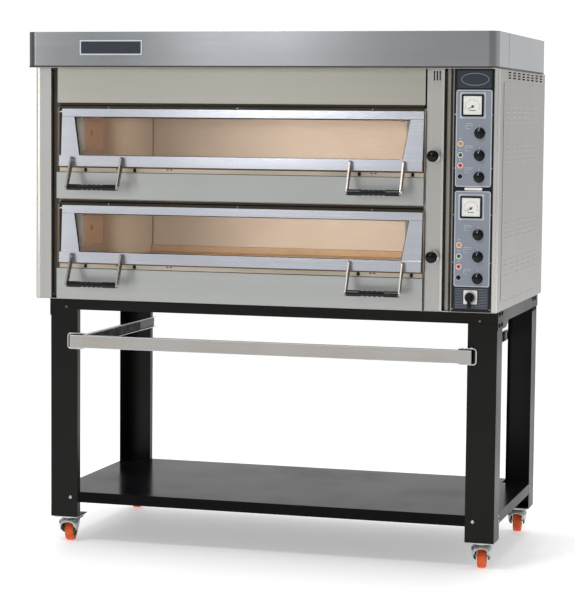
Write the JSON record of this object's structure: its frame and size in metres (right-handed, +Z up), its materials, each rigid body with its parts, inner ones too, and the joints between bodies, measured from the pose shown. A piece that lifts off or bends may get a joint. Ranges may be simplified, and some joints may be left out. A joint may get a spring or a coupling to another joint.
{
  "type": "twin-deck pizza oven on stand",
  "caption": "Free-standing two-deck electric pizza oven with lift-up glass doors, side control column, canopy, wheeled stand and pull-out loader bar.",
  "frame": {"origin": "middle of the object's bounding box on the floor, under the wheels", "axes": "+Z up, the doors face -Y, +X is to the right of a person standing at the doors"},
  "size_m": [1.65, 1.0182, 1.82],
  "materials": {
    "casing_steel": "brushed, warm grey",
    "bright_steel": "finely brushed, cooler and brighter",
    "baking_stone": "rough fired stone",
    "chamber_liner": "heat-tinted steel",
    "heating_element": "oxidised sheath",
    "black_paint": "satin black powder coat",
    "shelf_paint": "semi-gloss dark grey powder coat",
    "panel_black": "satin black",
    "black_plastic": "moulded black",
    "zinc": "bright zinc plate",
    "orange_tyre": "orange polyurethane",
    "door_glass": "clear, slightly smoked",
    "fascia_blue": "slate blue printed film",
    "dial_white": "white dial",
    "lamp_amber": "amber lens",
    "lamp_green": "green lens",
    "lamp_red": "red lens",
    "white_plastic": "white moulding",
    "chrome_trim": "polished",
    "brick": "fired brick lining"
  },
  "bodies": {
    "root": {"left_side_panel": "casing_steel", "right_side_panel": "casing_steel", "base_and_back_panel": "casing_steel", "roof_panel": "casing_steel", "canopy": "bright_steel", "cable_gland": "black_plastic", "top_front_panel": "casing_steel", "upper_deck_front_panel": "casing_steel", "lower_deck_front_panel": "casing_steel", "damper_pillar": "casing_steel", "control_column": "bright_steel", "control_panel": "panel_black", "upper_gauge": "black_plastic", "lower_gauge": "black_plastic", "upper_chamber": "chamber_liner", "lower_chamber": "chamber_liner", "upper_baking_stone": "baking_stone", "lower_baking_stone": "baking_stone", "upper_heating_element": "heating_element", "lower_heating_element": "heating_element", "front_left_leg": "black_paint", "front_right_leg": "black_paint", "rear_left_leg": "black_paint", "rear_right_leg": "black_paint", "stand_top_frame": "black_paint", "shelf": "shelf_paint", "left_slide_channel": "bright_steel", "right_slide_channel": "bright_steel"},
    "upper_door": {"upper_door_frame": "bright_steel", "upper_door_glass": "door_glass", "upper_door_left_handle_arms": "bright_steel", "upper_door_left_grip": "black_plastic", "upper_door_right_handle_arms": "bright_steel", "upper_door_right_grip": "black_plastic"},
    "lower_door": {"lower_door_frame": "bright_steel", "lower_door_glass": "door_glass", "lower_door_left_handle_arms": "bright_steel", "lower_door_left_grip": "black_plastic", "lower_door_right_handle_arms": "bright_steel", "lower_door_right_grip": "black_plastic"},
    "upper_top_heat_knob": {"upper_top_heat_knob": "black_plastic"},
    "upper_floor_heat_knob": {"upper_floor_heat_knob": "black_plastic"},
    "upper_chamber_knob": {"upper_chamber_knob": "black_plastic"},
    "lower_top_heat_knob": {"lower_top_heat_knob": "black_plastic"},
    "lower_floor_heat_knob": {"lower_floor_heat_knob": "black_plastic"},
    "lower_chamber_knob": {"lower_chamber_knob": "black_plastic"},
    "main_switch": {"main_switch": "black_plastic"},
    "upper_reset_button": {"upper_reset_button": "black_plastic"},
    "lower_reset_button": {"lower_reset_button": "black_plastic"},
    "upper_damper_knob": {"upper_damper_knob": "black_plastic"},
    "lower_damper_knob": {"lower_damper_knob": "black_plastic"},
    "pull_out_bar": {"pull_out_bar": "bright_steel"},
    "front_left_fork": {"front_left_castor_fork": "zinc"},
    "front_left_wheel": {"front_left_castor_wheel": "orange_tyre"},
    "front_right_fork": {"front_right_castor_fork": "zinc"},
    "front_right_wheel": {"front_right_castor_wheel": "orange_tyre"},
    "rear_left_fork": {"rear_left_castor_fork": "zinc"},
    "rear_left_wheel": {"rear_left_castor_wheel": "orange_tyre"},
    "rear_right_fork": {"rear_right_castor_fork": "zinc"},
    "rear_right_wheel": {"rear_right_castor_wheel": "orange_tyre"}
  },
  "joints": [
    {"name": "upper_door_hinge", "type": "hinge", "parent": "root", "child": "upper_door", "pos_m": [-0.075, -0.41292, 1.5475], "axis": [-1, 0, 0], "range_deg": [0, 85]},
    {"name": "lower_door_hinge", "type": "hinge", "parent": "root", "child": "lower_door", "pos_m": [-0.075, -0.41292, 1.2125], "axis": [-1, 0, 0], "range_deg": [0, 85]},
    {"name": "upper_top_heat_knob_turn", "type": "hinge", "parent": "root", "child": "upper_top_heat_knob", "pos_m": [0.755, -0.42092, 1.4875], "axis": [0, 1, 0], "range_deg": [0, 270]},
    {"name": "upper_floor_heat_knob_turn", "type": "hinge", "parent": "root", "child": "upper_floor_heat_knob", "pos_m": [0.755, -0.42092, 1.4145], "axis": [0, 1, 0], "range_deg": [0, 270]},
    {"name": "upper_chamber_knob_turn", "type": "hinge", "parent": "root", "child": "upper_chamber_knob", "pos_m": [0.755, -0.42092, 1.3425], "axis": [0, 1, 0], "range_deg": [0, 270]},
    {"name": "lower_top_heat_knob_turn", "type": "hinge", "parent": "root", "child": "lower_top_heat_knob", "pos_m": [0.755, -0.42092, 1.1525], "axis": [0, 1, 0], "range_deg": [0, 270]},
    {"name": "lower_floor_heat_knob_turn", "type": "hinge", "parent": "root", "child": "lower_floor_heat_knob", "pos_m": [0.755, -0.42092, 1.0795], "axis": [0, 1, 0], "range_deg": [0, 270]},
    {"name": "lower_chamber_knob_turn", "type": "hinge", "parent": "root", "child": "lower_chamber_knob", "pos_m": [0.755, -0.42092, 1.0075], "axis": [0, 1, 0], "range_deg": [0, 270]},
    {"name": "main_switch_turn", "type": "hinge", "parent": "root", "child": "main_switch", "pos_m": [0.733, -0.42092, 0.945], "axis": [0, 1, 0], "range_deg": [0, 90]},
    {"name": "upper_reset_button_push", "type": "slide", "parent": "root", "child": "upper_reset_button", "axis": [0, 1, 0], "range_m": [0, 0.003], "stiffness_N_per_m": 400, "springref_m": -0.002},
    {"name": "lower_reset_button_push", "type": "slide", "parent": "root", "child": "lower_reset_button", "axis": [0, 1, 0], "range_m": [0, 0.003], "stiffness_N_per_m": 400, "springref_m": -0.002},
    {"name": "upper_damper_pull", "type": "slide", "parent": "root", "child": "upper_damper_knob", "axis": [0, -1, 0], "range_m": [0, 0.055]},
    {"name": "lower_damper_pull", "type": "slide", "parent": "root", "child": "lower_damper_knob", "axis": [0, -1, 0], "range_m": [0, 0.055]},
    {"name": "bar_slide", "type": "slide", "parent": "root", "child": "pull_out_bar", "axis": [0, -1, 0], "range_m": [0, 0.42]},
    {"name": "front_left_swivel", "type": "hinge", "parent": "root", "child": "front_left_fork", "pos_m": [-0.756, -0.25892, 0.09], "axis": [0, 0, 1], "continuous": true},
    {"name": "front_left_roll", "type": "hinge", "parent": "front_left_fork", "child": "front_left_wheel", "pos_m": [-0.76038, -0.23127, 0.04], "axis": [0.9877, 0.1564, 0], "continuous": true},
    {"name": "front_right_swivel", "type": "hinge", "parent": "root", "child": "front_right_fork", "pos_m": [0.756, -0.25892, 0.09], "axis": [0, 0, 1], "continuous": true},
    {"name": "front_right_roll", "type": "hinge", "parent": "front_right_fork", "child": "front_right_wheel", "pos_m": [0.7521, -0.2312, 0.04], "axis": [0.9903, 0.1392, 0], "continuous": true},
    {"name": "rear_left_swivel", "type": "hinge", "parent": "root", "child": "rear_left_fork", "pos_m": [-0.756, 0.43008, 0.09], "axis": [0, 0, 1], "continuous": true},
    {"name": "rear_left_roll", "type": "hinge", "parent": "rear_left_fork", "child": "rear_left_wheel", "pos_m": [-0.75844, 0.45797, 0.04], "axis": [0.9962, 0.0872, 0], "continuous": true},
    {"name": "rear_right_swivel", "type": "hinge", "parent": "root", "child": "rear_right_fork", "pos_m": [0.756, 0.43008, 0.09], "axis": [0, 0, 1], "continuous": true},
    {"name": "rear_right_roll", "type": "hinge", "parent": "rear_right_fork", "child": "rear_right_wheel", "pos_m": [0.75307, 0.45792, 0.04], "axis": [0.9945, 0.1045, 0], "continuous": true}
  ]
}
